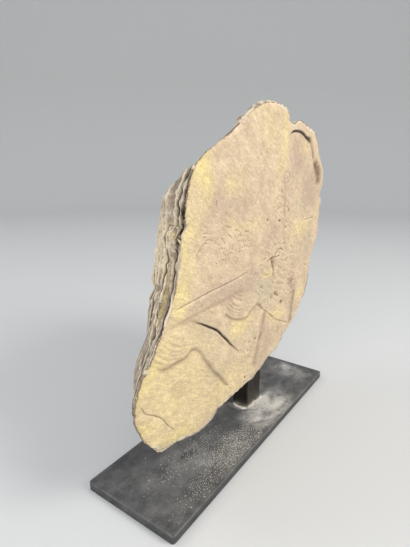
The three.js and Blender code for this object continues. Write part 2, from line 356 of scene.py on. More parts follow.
# Lines cut into the face: the line, its half-width and its depth. A ridge's depth is negative.
CUT_LINES = [
    (BAND_LINE, 1.4, 2.0),
    (RIGHT_SEAM, 1.8, 1.3),
    ([(121, 224), (124, 208), (127, 186)], 1.6, 0.7),
    ([(424, 166), (414, 136), (400, 104), (386, 70), (374, 40)], 7.5, 1.5),
    ([(402, 164), (389, 128), (376, 96), (362, 66), (350, 40)], 8.0, -1.1),
    ([(443, 148), (431, 120), (417, 92), (402, 60)], 5.0, -1.0),
    ([(590, 184), (588, 153), (584, 123), (578, 96)], 7.0, 2.2),
    ([(574, 182), (572, 153), (568, 123), (562, 100)], 6.0, -1.2),
    ([(15, 140), (22, 130), (30, 117), (51, 102), (68, 86), (80, 68), (92, 55), (101, 42)], 1.5, 1.6),
    ([(80, 136), (104, 139), (127, 138)], 3.0, -1.2),
    (ARCH_LIMB, 6.0, 2.6),
    (ARCH_LEFT, 9.0, -1.3),
    ([(617, 352), (655, 353), (682, 353)], 1.6, 1.8),
    ([(625, 359), (650, 359), (675, 358)], 1.6, 1.0),
    ([(620, 347), (650, 346), (680, 347)], 1.8, -0.9),
    ([(639, 234), (648, 230), (658, 227)], 1.8, 1.5),
    ([(440, 285), (452, 287), (466, 286), (490, 284)], 1.9, 2.0),
    ([(458, 290), (470, 297), (484, 301), (493, 300), (502, 292)], 2.2, 2.2),
    ([(448, 281), (452, 266), (458, 251)], 3.0, 2.6),
    ([(392, 230), (402, 230), (410, 221)], 1.6, 1.6),
    ([(384, 223), (396, 216), (404, 206), (409, 196)], 2.2, -1.2),
    ([(403, 288), (413, 292), (425, 291)], 1.6, 1.3),
    ([(462, 384), (455, 360), (452, 330)], 6.0, 0.9),
    ([(527, 445), (524, 410), (520, 380)], 4.0, -1.0),
    ([(497, 440), (500, 400), (497, 360)], 5.0, 0.8),
]

# The worn scroll under the arch, a plain volute of the maker's own design: where it is, how far
# it reaches at its outer and inner ends, how often it goes round and the angle it begins at.
SCROLL = {
    "x": 505, "z": 458, "outer": 20.0, "inner": 6.0, "turns": 1.15, "begin": -2.1, "steps": 16,
}

# Small marks left of the scroll.
MARKS = [
    [(177, 380), (192, 379), (206, 375)],
    [(179, 373), (190, 373)],
    [(175, 360), (184, 362), (194, 361)],
    [(162, 343), (167, 351), (173, 357)],
    [(244, 387), (256, 382), (273, 379)],
    [(282, 373), (296, 370)],
    [(280, 364), (289, 358), (295, 348)],
    [(333, 384), (342, 382), (354, 377)],
    [(186, 366), (196, 367), (208, 364)],
    [(232, 366), (242, 360), (252, 351)],
    [(258, 369), (268, 362), (276, 355)],
    [(300, 361), (310, 357), (322, 356)],
    [(318, 366), (328, 363), (338, 364)],
]
DOT_ROWS = [  # x, z, how many, spacing, slope
    (226, 331, 4, 13, 0.00),
    (232, 343, 3, 8, 0.05),
    (304, 334, 5, 9, -0.05),
    (300, 350, 4, 10, -0.15),
    (318, 342, 4, 8, 0.10),
    (222, 320, 5, 10, 0.05),
    (236, 337, 6, 10, -0.05),
    (262, 328, 4, 9, 0.10),
    (292, 325, 5, 9, 0.05),
]

# Pits, and bumps where the depth is negative: x, z, width, height, depth, turn.
PITS = [
    (675, 481, 38, 18, 3.6, -0.45),
    (692, 466, 44, 26, 3.4, -0.55),
    (698, 446, 30, 16, 3.6, 0.2),
    (526, 387, 10, 13, 2.6, 0),
    (477, 367, 14, 7, 2.6, -0.2),
    (512, 348, 14, 7, 2.2, -0.2),
    (472, 395, 18, 6, 1.6, 0.2),
    (418, 375, 9, 7, 2.4, 0),
    (457, 410, 12, 8, -1.3, 0.3),
    (505, 310, 13, 8, 2.0, -0.2),
    (461, 315, 10, 8, 1.6, 0),
    (507, 330, 9, 14, 1.6, 0),
    (446, 285, 26, 8, 2.6, 0.05),
    (450, 276, 15, 14, 2.8, 0.0),
    (455, 263, 8, 18, 2.4, 0.15),
    (466, 292, 16, 6, -1.4, 0.1),
    (475, 196, 16, 10, 3.0, -0.45),
    (486, 189, 14, 9, 2.4, -0.3),
    (455, 192, 13, 13, 2.0, 0.5),
    (507, 166, 14, 9, 3.2, -0.3),
    (467, 209, 10, 7, 1.8, 0),
    (385, 227, 11, 13, -1.7, 0.4),
    (342, 37, 11, 7, 2.8, -0.2),
    (380, 116, 10, 7, 2.4, 0),
    (340, 94, 12, 8, -1.3, 0),
    (220, 427, 6, 13, 1.6, 0),
    (655, 240, 14, 9, -1.3, 0.2),
    (420, 140, 12, 12, 1.6, 0), (412, 122, 14, 9, -1.4, 0), (405, 108, 12, 10, 1.4, 0),
]

# The ridged patch at the lower right.
RIDGES = {"left": 550, "right": 586, "low": 176, "count": 5, "spacing": 10}

# Brown along the carving's lines, partly stain and partly painted shade: the line, how wide and how
# strong.
STAIN_AND_SHADE_LINES = [
    (LEFT_HEM, 6, 0.7), (RIGHT_HEM, 5, 0.55), (BAND_STEP, 6, 0.4), (RIGHT_SEAM, 3, 0.35),
    ([(606, 551), (624, 541), (640, 524), (652, 504), (660, 484), (662, 470)], 6, 0.95),
    ([(560, 556), (585, 553), (606, 545), (626, 532)], 5, 0.7),
    ([(428, 176), (416, 138), (402, 104), (388, 70), (376, 40)], 10, 0.6),
    ([(577, 186), (574, 140), (568, 86)], 10, 1.0),
    ([(442, 294), (447, 278), (452, 262), (456, 240)], 4.5, 1.2),
    ([(418, 283), (436, 288), (456, 292), (478, 300)], 2.5, 0.6),
    ([(494, 420), (502, 380), (500, 345), (512, 310)], 8, 0.3),
    ([(448, 290), (456, 262), (460, 235)], 6, 0.4),
    ([(553, 222), (556, 205), (552, 190)], 12, 0.45),
    ([(575, 214), (580, 196), (577, 178)], 7, 0.35),
    (SICKLE, 5, 0.5),
]
# Brown spots in the pits and the hollow, partly stain and partly painted shade.
STAIN_AND_SHADE_SPOTS = [  # x, z, width, height, strength, turn
    (674, 482, 42, 20, 2.0, -0.5), (690, 466, 50, 30, 1.8, -0.55), (698, 446, 34, 20, 2.0, 0.2),
    (552, 208, 34, 22, 0.8, 0), (568, 190, 28, 14, 0.5, 0), (556, 173, 22, 14, 0.4, 0),
    (446, 285, 26, 8, 0.7, 0),
    (473, 195, 30, 20, 0.5, -0.4), (455, 193, 20, 22, 0.45, 0.3), (507, 166, 22, 16, 0.6, -0.3),
    (455, 278, 24, 28, 0.7, 0.2), (110, 120, 60, 44, 0.3, 0), (372, 120, 16, 40, 0.3, 0.4),
]
# Painted shade along the folds.
FINE_FOLD_SHADE = [(line, 2.0, 0.4) for line in LEFT_FOLDS + RIGHT_FOLDS]


def volute(x, z, outer, inner, turns, begin, steps):
    """A spiral's points of x and z, from its outer end inwards."""
    line = []
    for number in range(steps + 1):
        share = number / steps
        reach = outer + (inner - outer) * share
        angle = begin - 2 * math.pi * turns * share
        line.append((x + reach * math.cos(angle), z + reach * math.sin(angle)))
    return line


def carving(points):
    """Height of the carved lines over the face, in millimetres; outwards is positive."""
    height = groove(points, SICKLE, 2.1, 4.4, ends=0.4)
    height += step(points, SICKLE, 2.6, 24, edge=0.7, lip=0.9, ends=0.25)
    height += step(points, BAND_STEP, 2.0, 22, edge=1.5, lip=0.5, ends=0.08)
    height += step(points, LEFT_HEM, 3.2, 40, edge=2.0, lip=1.0, ends=0.06)
    height += groove(points, LEFT_HEM, 3.0, 1.3, ends=0.06)
    height += step(points, RIGHT_HEM, 2.6, 30, edge=1.7, lip=0.7, ends=0.06)
    height += groove(points, RIGHT_HEM, 2.2, 0.8, ends=0.06)
    height += step(points, RIGHT_SEAM, 1.2, 20, edge=1.2, lip=0.4)
    height += step(points, ARCH, 2.2, 34, edge=0.9, lip=1.4, ends=0.2)
    height += groove(points, ARCH, 3.2, 3.0, ends=0.3)
    height += groove(points, ARCH[6:], 3.4, 1.8, ends=0.3)
    for fold in LEFT_FOLDS + RIGHT_FOLDS:
        height += step(points, fold, 1.4, 5, edge=0.8, lip=0.9, ends=0.25)
    for line, width, depth in CUT_LINES:
        height += groove(points, line, width, depth)
    height += groove(points, volute(**SCROLL), 1.8, 1.6)
    for line in MARKS:
        height += groove(points, line, 1.5, 1.2)
    for x, z, width, tall, depth, turn in PITS:
        height -= depth * patch(points, x, z, width, tall, turn, edge=3)
    for row, (x, z, count, spacing, slope) in enumerate(DOT_ROWS):
        for dot in range(count):
            lift = 1.5 * math.sin(5 * dot + 2 * row)
            across = x + spacing * dot
            height -= 1.0 * patch(points, across, z + lift + slope * spacing * dot, 6, 4, 0.2, 3)
    return height + ridged_patch(points)


def ridged_patch(points):
    """Short worn ridges, uneven in length and slope."""
    height = np.zeros(len(points))
    for ridge in range(RIDGES["count"]):
        z = RIDGES["low"] + RIDGES["spacing"] * (ridge + 0.3 * math.sin(2.3 * ridge))
        left = RIDGES["left"] + 11 * math.sin(3.1 * ridge)
        right = RIDGES["right"] + 10 * math.sin(4.7 * ridge + 1)
        tilt = 3 * math.sin(1.7 * ridge)
        middle = ((left + right) / 2, z - 2 - tilt / 3)
        height += groove(points, [(left, z + tilt), middle, (right, z - tilt)], 2.6, 1.3, ends=0.4)
    return height


# ------------------------------------------------------------------ the slab

VOXEL = 1.6
SLAB_TRIANGLES = 190_000
FRONT_TILT = 0.3  # how far a vertex faces forwards before it counts as the face's
FRONT_SHARE = 0.3  # its weight in the thinning, where the rest has 1
SEAT_MARGIN = 8.0  # round the post's seat under the slab, where nothing is roughened
DARK_PIT = 2.3  # the depth past which a pit gets near-black painted shade
FACE_CARE = 4e-6  # how much dearer it is to thin the mesh on the face than on the back
ARRIS = {"width": 13.0, "fall": 2.0}  # how far in the face is rounded, and by how much
LEFT_BORDER = {"width": 38.0, "fall": 3.4, "from": 180, "to": 90}

# Where the face's skin has broken away: its ragged limit down the top left and left sides.
# Outside it the stone falls back in a rough slope.
SKIN_LIMIT = [(345, 596), (320, 578), (295, 561), (270, 545), (253, 537), (235, 539), (205, 532),
              (174, 514), (152, 492), (147, 474), (138, 450), (130, 424), (130, 405), (126, 388),
              (119, 363), (113, 338), (107, 316), (101, 293), (91, 268), (80, 246), (66, 225),
              (51, 207), (36, 188), (23, 171), (12, 156), (4, 138), (0, 110)]
SKIN = {"step": 3.0, "slope": 0.9, "ragged": 2.2, "deepest": 16.0}
SPLIT = {"from": 290, "to": 482, "drop": 5.0}  # where a crevice runs right behind the skin

# Worn, pocked places: x, z, width, height, strength.
WORN = [
    (480, 250, 240, 200, 1.0), (500, 400, 120, 240, 0.7), (345, 90, 90, 110, 0.7),
    (100, 130, 110, 80, 0.45), (235, 350, 190, 70, 0.35), (300, 350, 130, 60, 0.45),
    (620, 290, 90, 130, 0.35),
]

# Crevices in the broken left side, behind the face's skin. Each is a line of z, depth behind
# the face and strength; then its half-width and how deep it goes.
CREVICES = [
    ([(270, 12, 0.2), (310, 11, 0.45), (350, 10, 0.6), (380, 9, 1.0), (455, 7, 1.0),
      (484, 6, 0.5)], 4.0, 12),
    ([(395, 23, 0.4), (425, 20, 1.0), (462, 17, 1.0), (492, 15, 0.8)], 2.0, 8),
    ([(285, 30, 0.4), (330, 27, 0.9), (375, 31, 0.5), (400, 34, 0.2)], 1.8, 6),
    ([(120, 7, 0.5), (180, 8, 1.0), (240, 10, 1.0), (290, 12, 0.6)], 2.0, 8),
    ([(110, 20, 0.5), (170, 22, 1.0), (225, 25, 1.0), (275, 27, 0.4)], 2.0, 8),
    ([(130, 38, 0.4), (190, 40, 1.0), (240, 43, 1.0), (300, 44, 0.4)], 2.1, 7),
    ([(200, 54, 0.4), (260, 56, 0.9), (330, 56, 0.5)], 2.2, 6),
]

# Where the outline is drawn out or in: x, z, radius, the move, and from which depth on.
SHIFTS = [
    (153, 440, 20, (-11, 7), 30),
    (166, 478, 24, (-5, 6), 14),
    (148, 395, 30, (-6, 0), 30),
    (700, 411, 15, (9, 0), -20),
    (694, 506, 30, (7, 5), -20),
    (650, 550, 34, (5, 7), -20),
    (120, 287, 10, (7, 0), 30),
    (30, 112, 32, (-8, -3), 14),
    (-4, 136, 14, (4, 0), -20),
]


def uncarved_blank():
    """The slab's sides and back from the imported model, closed by a flat face.

    Returns the bmesh and the face's edge as points of x and z.
    """
    mesh = bmesh.new()
    mesh.from_mesh(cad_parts["relief_slab"].data)
    bmesh.ops.remove_doubles(mesh, verts=mesh.verts, dist=1e-6)
    face_y = SLAB_LOW.y

    def in_face(edge):
        return all(abs(vert.co.y - face_y) < 0.02 * MM for vert in edge.verts)

    back = max(mesh.faces, key=lambda face: face.calc_center_median().y)
    kept, fresh = {back}, [back]
    while fresh:
        face = fresh.pop()
        for edge in face.edges:
            if in_face(edge):
                continue
            for neighbour in edge.link_faces:
                if neighbour not in kept:
                    kept.add(neighbour)
                    fresh.append(neighbour)
    dropped = [face for face in mesh.faces if face not in kept]
    bmesh.ops.delete(mesh, geom=dropped, context="FACES")
    rim = [edge for edge in mesh.edges if edge.is_boundary]
    bmesh.ops.holes_fill(mesh, edges=rim, sides=0)
    bmesh.ops.recalc_face_normals(mesh, faces=mesh.faces)
    front = [face for face in mesh.faces if face.calc_center_median().y < face_y + 0.02 * MM]
    edge_loop = max(front, key=lambda face: face.calc_area())
    return mesh, np.array([(vert.co.x, vert.co.z) for vert in edge_loop.verts])


def on_slab(places):
    """Places as x, depth behind the face and z on the slab, in millimetres."""
    return (places - np.array(SLAB_LOW)) / MM


def crevices(points):
    """How deep the left side's crevices are, as a length and as a share of their depth."""
    depth = np.zeros(len(points))
    shade = np.zeros(len(points))
    for number, (line, width, deepest) in enumerate(CREVICES):
        heights, backs, strengths = np.array(line, float).T
        wander = 3.0 * rough(points, (60, 1e6, 34), 40 + number)
        wander += 1.4 * rough(points, (30, 1e6, 9), 60 + number)
        centre = np.interp(points[:, 2], heights, backs) + wander
        strength = np.interp(points[:, 2], heights, strengths, left=0, right=0)
        swell = 1 + 0.6 * rough(points, (60, 1e6, 14), 80 + number)
        cut = strength * np.exp(-((points[:, 1] - centre) / (width * swell)) ** 2)
        depth = np.maximum(depth, cut * deepest)
        shade = np.maximum(shade, cut)
    left_side = 1 - ramp(points[:, 0], 175, 215)
    return depth * left_side, shade * left_side


def ledges(points, size, seed, edge=0.75):
    """Noise in flat treads with short risers between, as split stone has."""
    sway = np.stack([rough(points, size, seed + shift) for shift in (101, 102, 103)], 1)
    height = 3 * layered(points + 0.6 * np.asarray(size) * sway, size, seed, 2)
    tread = np.floor(height)
    return (tread + ramp(height - tread, edge, 1)) / 3


def side_relief(points):
    """How far the broken sides stand out, in millimetres: bedding layers and breaks."""
    massive = ramp(points[:, 2], 300, 350)
    height = 2.6 * ledges(points, (60, 8, 42), 11) + 2.0 * ledges(points, (26, 5, 20), 13)
    height *= 1 - 0.6 * massive
    height += 3.0 * layered(points, (34, 24, 30), 21, 3)
    height += (0.9 + 0.7 * massive) * layered(points, 7, 25, 2)
    height += 2.2 * massive * layered(points, (18, 10, 16), 27, 3)
    left_side = 1 - ramp(points[:, 0], 175, 260)
    height += left_side * ((2.4 - 1.6 * massive) * rough(points, (18, 2.8, 44), 31) + 2.2)
    return height - crevices(points)[0]


def shifts(points):
    """How the outline is moved in places, in millimetres."""
    move = np.zeros_like(points)
    for x, z, radius, (right, up), depth in SHIFTS:
        share = patch(points[:, [0, 2]], x, z, 2 * radius, 2 * radius, 0, 3)
        share *= ramp(points[:, 1], depth, depth + 10)
        move[:, 0] += right * share
        move[:, 2] += up * share
    return move


def back_relief(points):
    """The back's split surface: broad hollows and thin flakes."""
    broad = layered(points, (150, 150, 120), 51, 2)
    flakes = ledges(points, (85, 85, 60), 55, 0.86) + 0.5 * ledges(points, (40, 40, 30), 58, 0.8)
    return 3.2 * broad + 3.2 * flakes + 0.7 * layered(points, 17, 57, 2)


def beyond_skin(points):
    """How far outside the skin's ragged limit a point is, in millimetres."""
    line = smooth_line(SKIN_LIMIT)
    across = beside(points[:, [0, 2]], line)[0]
    ragged = SKIN["ragged"] * layered(points, (13, 1e6, 13), 95, 3)
    return np.clip(-across + ragged, 0, 40)


def split(points):
    """1 at the heights where the skin stands clear of a crevice."""
    heights = points[:, 2] + 8 * rough(points, (50, 1e6, 20), 98)
    return ramp(heights, SPLIT["from"], SPLIT["from"] + 40) * ramp(SPLIT["to"] - heights, 0, 14)


def face_relief(points, from_edge):
    """The face's whole relief, in millimetres: wear, rounding, carving and breaks."""
    flat = points[:, [0, 2]]
    height = 1.0 * rough(points, 95, 1) + 0.5 * rough(points, 34, 2)
    height += 0.30 * layered(points, 12, 3, 2)
    drift = np.stack([flat @ (0.9, -0.43), points[:, 1], flat @ (0.43, 0.9)], 1)
    height += 0.20 * rough(drift, (30, 30, 8), 4) + 0.12 * rough(drift, (14, 14, 4), 6)
    worn = wear(flat)
    height += worn * (1.8 * layered(drift, (24, 24, 9), 5, 4) - 0.3)
    height -= worn * 2.0 * ramp(layered(points, (12, 12, 9), 8, 3), 0.3, 0.85)
    border = 1 - ramp(flat[:, 0], LEFT_BORDER["to"], LEFT_BORDER["from"])
    border = np.maximum(border, 0.35 * (1 - ramp(flat[:, 1], 0, 120)))
    width = ARRIS["width"] + border * (LEFT_BORDER["width"] - ARRIS["width"])
    fall = ARRIS["fall"] + border * (LEFT_BORDER["fall"] - ARRIS["fall"])
    fall = fall * (1 + 0.5 * rough(points, 40, 7))
    height -= fall * np.clip(1 - from_edge / width, 0, 1) ** 2
    beyond = beyond_skin(points)
    broken = SKIN["step"] * ramp(beyond, 0, 1.6)
    broken = broken + SPLIT["drop"] * split(points) * ramp(beyond, 0, 3.2)
    broken += SKIN["slope"] * beyond
    broken += ramp(beyond, 0, 3) * 1.6 * ledges(points, (16, 16, 12), 97)
    return height + carving(flat) - np.minimum(broken, SKIN["deepest"])


def wear(flat):
    """How badly the face is worn and pocked."""
    total = np.full(len(flat), 0.06)
    for x, z, width, height, strength in WORN:
        total = np.maximum(total, strength * patch(flat, x, z, width, height, 0, 3))
    return total


def chips(points, from_arris):
    """Small breaks along the arris, in millimetres."""
    bites = np.maximum(rough(points, 17, 9) - 0.25, 0) + 0.5 * np.maximum(rough(points, 7, 10), 0)
    return 4.0 * bites * np.exp(-(from_arris / 5.0) ** 2)


def seat_free(points):
    """0 in the post's seat and 1 away from it."""
    post = (np.array([*POST_AXIS, POST_HIGH.z]) - np.array(SLAB_LOW)) / MM
    half = np.array([POST_HIGH.x - POST_LOW.x, POST_HIGH.y - POST_LOW.y]) / 2 / MM
    beyond = np.maximum(
        np.abs(points[:, 0] - post[0]) - half[0],
        np.abs(points[:, 1] - post[1]) - half[1],
    )
    beyond = np.maximum(beyond, points[:, 2] - post[2])
    return ramp(beyond, 2, SEAT_MARGIN)


def shape_slab(slab, loop):
    """Moves the blank's vertices to the carved, worn and broken surface."""
    places = corners(slab.data)
    facing = normals(slab.data)
    points = on_slab(places)
    closed = np.vstack([loop, loop[:1]])
    from_edge = np.abs(beside(points[:, [0, 2]], closed)[0])
    to_front = ramp(-facing[:, 1], 0.35, 0.8)
    to_back = ramp(facing[:, 1], 0.35, 0.8)
    to_side = np.clip(1 - to_front - to_back, 0, 1)

    outward = facing * (1, 0, 1)
    outward /= np.maximum(np.linalg.norm(outward, axis=1), 1e-6)[:, None]
    move = np.zeros_like(points)
    move[:, 1] -= to_front * face_relief(points, from_edge)
    depth = points[:, 1]
    skin = ramp(depth, 1.5, 5)
    move += outward * (to_side * skin * side_relief(points))[:, None]
    move[:, 1] += to_back * back_relief(points)
    move += shifts(points)
    from_arris = np.hypot(from_edge, depth)
    move -= facing * chips(points, from_arris)[:, None]
    free = seat_free(points)
    tint_slab(slab, points, to_front, from_edge)
    move_corners(slab.data, places + move * free[:, None] * MM)
    store_hollows(slab)


def averaged(values, first, second, count):
    """Each vertex's mean with its neighbours, half and half."""
    total = np.zeros_like(values)
    for axis in range(values.shape[1]):
        total[:, axis] = np.bincount(first, values[second, axis], len(values))
        total[:, axis] += np.bincount(second, values[first, axis], len(values))
    return 0.5 * values + 0.5 * total / count[:, None]


def store_hollows(slab):
    """Stores how hollow or proud each vertex is, at a fine and at a broad scale."""
    data = slab.data
    ends = np.empty(len(data.edges) * 2, np.int32)
    data.edges.foreach_get("vertices", ends)
    first, second = ends[0::2], ends[1::2]
    places, facing = corners(data), normals(data)
    count = np.bincount(ends, minlength=len(places))
    smoothed = places
    for name, rounds, full in (("fine", 5, 0.55), ("broad", 40, 2.2)):
        for _ in range(rounds):
            smoothed = averaged(smoothed, first, second, count)
        hollow = np.sum((smoothed - places) * facing, axis=1) / MM / full
        paint_on(data, "hollow_" + name, hollow)
        paint_on(data, "proud_" + name, -hollow)


# Tones of the face that vary by place: x, z, width, height, strength.
YELLOW = [
    (90, 110, 260, 240, 0.5), (178, 478, 50, 110, 1.0), (250, 50, 190, 90, 0.5),
    (310, 168, 90, 40, 0.7), (440, 253, 60, 26, 0.6), (480, 140, 80, 34, 0.6),
    (478, 530, 40, 150, 0.5), (600, 333, 90, 44, 0.5), (270, 453, 70, 44, 0.4),
    (350, 598, 130, 24, 0.4),
    (490, 573, 44, 26, 0.5), (615, 168, 56, 44, 0.5), (320, 373, 130, 34, 0.35),
    (150, 130, 90, 60, 0.5), (590, 520, 60, 40, 0.35), (420, 560, 60, 70, 0.3),
]
PINK = [
    (270, 258, 300, 44, 0.7), (360, 248, 130, 66, 0.7), (560, 508, 90, 100, 1.0),
    (640, 428, 130, 110, 0.9), (250, 418, 190, 70, 0.6), (430, 88, 90, 110, 0.55),
    (640, 278, 110, 90, 0.5), (440, 338, 110, 80, 0.55), (560, 218, 66, 120, 0.5),
    (100, 118, 60, 50, 0.2), (560, 140, 50, 80, 0.6), (505, 420, 60, 110, 0.4),
]
SAGE = [
    (215, 130, 110, 90, 0.4), (410, 220, 110, 80, 0.7), (600, 388, 70, 44, 0.5),
    (190, 200, 70, 50, 0.5), (380, 90, 40, 90, 0.4), (620, 310, 60, 60, 0.35),
    (600, 460, 60, 70, 0.3),
]


def tone(points, table):
    """The strength of a tone, broken up at its edges."""
    flat = points[:, [0, 2]] + 14 * np.stack([rough(points, 45, 91), rough(points, 45, 92)], 1)
    total = np.zeros(len(points))
    for x, z, width, height, strength in table:
        total = np.maximum(total, 1.25 * strength * patch(flat, x, z, width, height, 0, 2.4))
    return total


def tint_slab(slab, points, to_front, from_edge):
    """Stores where the slab gets a painted rim highlight, where it is yellow, pink, sage, broken or
    stained (partly painted shade), and where near-black shade is painted.
    """
    flat = points[:, [0, 2]]
    beyond = beyond_skin(points)
    skin = to_front * (1 - ramp(beyond, 0, 2))
    border = (1 - ramp(flat[:, 0], 130, 230)) * (1 - ramp(from_edge, 18, 60))
    border *= 0.8 + 0.6 * rough(points, 30, 93)
    # A painted highlight along the right and bottom arrises of the face.
    rim = np.maximum(ramp(flat[:, 0], 380, 450), ramp(70 - flat[:, 1], 0, 30))
    rim = ramp(8 - from_edge, 0, 5) * rim
    paint_on(slab.data, "rim", skin * rim * (0.8 + 0.5 * rough(points, 18, 89)))
    paint_on(slab.data, "yellow", skin * np.maximum(tone(points, YELLOW), border))
    paint_on(slab.data, "pink", skin * tone(points, PINK))
    paint_on(slab.data, "sage", skin * tone(points, SAGE))
    paint_on(slab.data, "broken", 1 - skin)
    paint_on(slab.data, "stain_and_shade", skin * stains_and_shade(points))
    tint_side(slab, points)
    # Near-black painted shade in the side's crevices, along the deepest cuts and pits, and where the
    # skin drops to the crevice.
    painted_shade = np.maximum(crevices(points)[1] * (1 - to_front), deep_cuts(flat))
    painted_shade = np.maximum(painted_shade, skin_foot(points, beyond) * to_front)
    paint_on(slab.data, "painted_shade", np.maximum(painted_shade, behind_skin(points) * (1 - to_front)))


def tint_side(slab, points):
    """Stores where the broken left side is aged, above and below, and fresh between."""
    left_side = 1 - ramp(points[:, 0], 175, 230)
    heights = points[:, 2] + 26 * rough(points, (40, 20, 30), 96)
    aged = np.maximum(ramp(heights, 420, 460), 0.65 * ramp(-heights, -300, -262))
    paint_on(slab.data, "aged", left_side * aged)
    fresh = ramp(heights, 285, 315) * ramp(-heights, -415, -385)
    fresh *= ramp(points[:, 1] + 14 * rough(points, (40, 20, 30), 98), 14, 26)
    paint_on(slab.data, "fresh", left_side * fresh)


def skin_foot(points, beyond):
    """Painted shade on the face where it drops from the skin to the crevice."""
    foot = split(points) * ramp(beyond, 0.0, 0.9) * ramp(7 - beyond, 0, 3.5)
    return foot * (0.8 + 0.5 * rough(points, (40, 1e6, 13), 94))


def behind_skin(points):
    """Painted shade on the left side right behind the skin, thinner lower down."""
    depth = points[:, 1]
    painted_shade = split(points) * ramp(depth, 0.5, 2.5) * ramp(10 - depth, 0, 4)
    painted_shade *= 1 - ramp(points[:, 0], 175, 215)
    painted_shade *= 0.85 + 0.5 * rough(points, (40, 1e6, 13), 94)
    return painted_shade * (0.4 + 0.6 * ramp(points[:, 2], 350, 385))


def stains_and_shade(points):
    """How brown the carving's lines and worn places are: partly stain, partly painted shade."""
    flat = points[:, [0, 2]]
    brown = np.zeros(len(points))
    for line, width, strength in STAIN_AND_SHADE_LINES + FINE_FOLD_SHADE:
        brown = np.maximum(brown, -groove(flat, line, width, strength, ends=0.1))
    for x, z, width, height, strength, turn in STAIN_AND_SHADE_SPOTS:
        brown = np.maximum(brown, strength * patch(flat, x, z, width, height, turn, 3))
    return brown * (1 + 0.4 * layered(points, 16, 99, 2))


def deep_cuts(flat):
    """1 along the carving's darkest lines, where near-black shade is painted."""
    dark = -groove(flat, SICKLE, 2.1, 1.0, ends=0.35)
    dark = np.maximum(dark, -groove(flat, ARCH, 3.4, 0.95, ends=0.3))
    dark = np.maximum(dark, -groove(flat, ARCH[6:], 4.5, 0.85, ends=0.3))
    for x, z, width, tall, depth, turn in PITS:
        if depth > DARK_PIT:
            dark = np.maximum(dark, 0.5 * patch(flat, x, z, 0.8 * width, 0.8 * tall, turn, 2.5))
    return dark


def add_slab():
    """The carved slab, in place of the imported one."""
    blank, edge = uncarved_blank()
    loop = (edge - (SLAB_LOW.x, SLAB_LOW.z)) / MM
    slab = mesh_object("relief_slab_carved", blank)
    finished(slab, ("REMESH", {"mode": "VOXEL", "voxel_size": VOXEL * MM}))
    shape_slab(slab, loop)
    thin_slab(slab)
    slab.data.shade_smooth()
    slab.data.materials.clear()
    slab.data.materials.append(sandstone())
    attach(slab, "root")
    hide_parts("relief_slab")


def thin_slab(slab):
    """Fewer triangles, taken mostly from the back and the sides."""
    facing = normals(slab.data)
    group = slab.vertex_groups.new(name="thin")
    front = facing[:, 1] < -FRONT_TILT
    group.add(np.flatnonzero(~front).tolist(), 1.0, "REPLACE")
    group.add(np.flatnonzero(front).tolist(), FRONT_SHARE, "REPLACE")
    share = SLAB_TRIANGLES / (2 * len(slab.data.polygons))
    finished(slab, ("DECIMATE", {
        "ratio": min(1, share), "vertex_group": "thin", "vertex_group_factor": FACE_CARE,
    }))
    slab.vertex_groups.clear()


# ------------------------------------------------------------------ materials

class Paint:
    """A material under construction: short names for the nodes that it is made of."""

    def __init__(self, name):
        self.material = bpy.data.materials.new(name)
        self.material.use_nodes = True
        self.tree = self.material.node_tree
        self.shader = self.tree.nodes["Principled BSDF"]
        self.place = None

    def node(self, kind, **inputs):
        """A node with its inputs set to values or joined to other nodes' outputs."""
        made = self.tree.nodes.new("ShaderNode" + kind)
        for key, value in inputs.items():
            socket = made.inputs[int(key[1:]) if key[0] == "i" and key[1:].isdigit() else key]
            if isinstance(value, bpy.types.NodeSocket):
                self.tree.links.new(value, socket)
            else:
                socket.default_value = value
        return made

    def where(self, stretch=(1, 1, 1), turn=0.0):
        """Object coordinates, in metres, for a pattern stretched and turned about Y."""
        if self.place is None:
            self.place = self.node("TexCoord").outputs["Object"]
        turned = (0, math.radians(turn), 0)
        mapping = self.node("Mapping", Vector=self.place, Scale=stretch, Rotation=turned)
        mapping.vector_type = "TEXTURE"
        return mapping.outputs["Vector"]

    def noise(self, size, detail=2.0, roughness=0.5, **placing):
        """Noise with lumps of a size in millimetres."""
        made = self.node(
            "TexNoise", Vector=self.where(**placing), Scale=1 / (size * MM), Detail=detail,
            Roughness=roughness,
        )
        return made.outputs["Fac"]

    def between(self, value, low, high, start=0.0, end=1.0):
        """A value carried from one range to another, and held to it."""
        made = self.node("MapRange", Value=value)
        ranges = {"From Min": low, "From Max": high, "To Min": start, "To Max": end}
        for key, number in ranges.items():
            made.inputs[key].default_value = number
        return made.outputs["Result"]

    def maths(self, how, first, second):
        """Two numbers added, multiplied or otherwise worked on."""
        made = self.node("Math", i0=first, i1=second)
        made.operation = how
        return made.outputs["Value"]

    def mix(self, share, first, second, how="MIX"):
        """A colour between two, or their blend of another kind."""
        made = self.tree.nodes.new("ShaderNodeMix")
        made.data_type = "RGBA"
        made.blend_type = how
        for socket, value in ((0, share), (6, first), (7, second)):
            if isinstance(value, bpy.types.NodeSocket):
                self.tree.links.new(value, made.inputs[socket])
            else:
                made.inputs[socket].default_value = value
        return made.outputs[2]

    def stored(self, name):
        """A number that paint_on left on the mesh."""
        made = self.node("Attribute")
        made.attribute_name = name
        return made.outputs["Fac"]

    def bump(self, height, depth_mm, strength):
        """A normal that a height pattern tilts."""
        made = self.node("Bump", Height=height, Distance=depth_mm * MM, Strength=strength)
        return made.outputs["Normal"]

    def into(self, **sockets):
        """Joins outputs to the shader's sockets, named with _ for a space."""
        for key, value in sockets.items():
            self.tree.links.new(value, self.shader.inputs[key.replace("_", " ")])


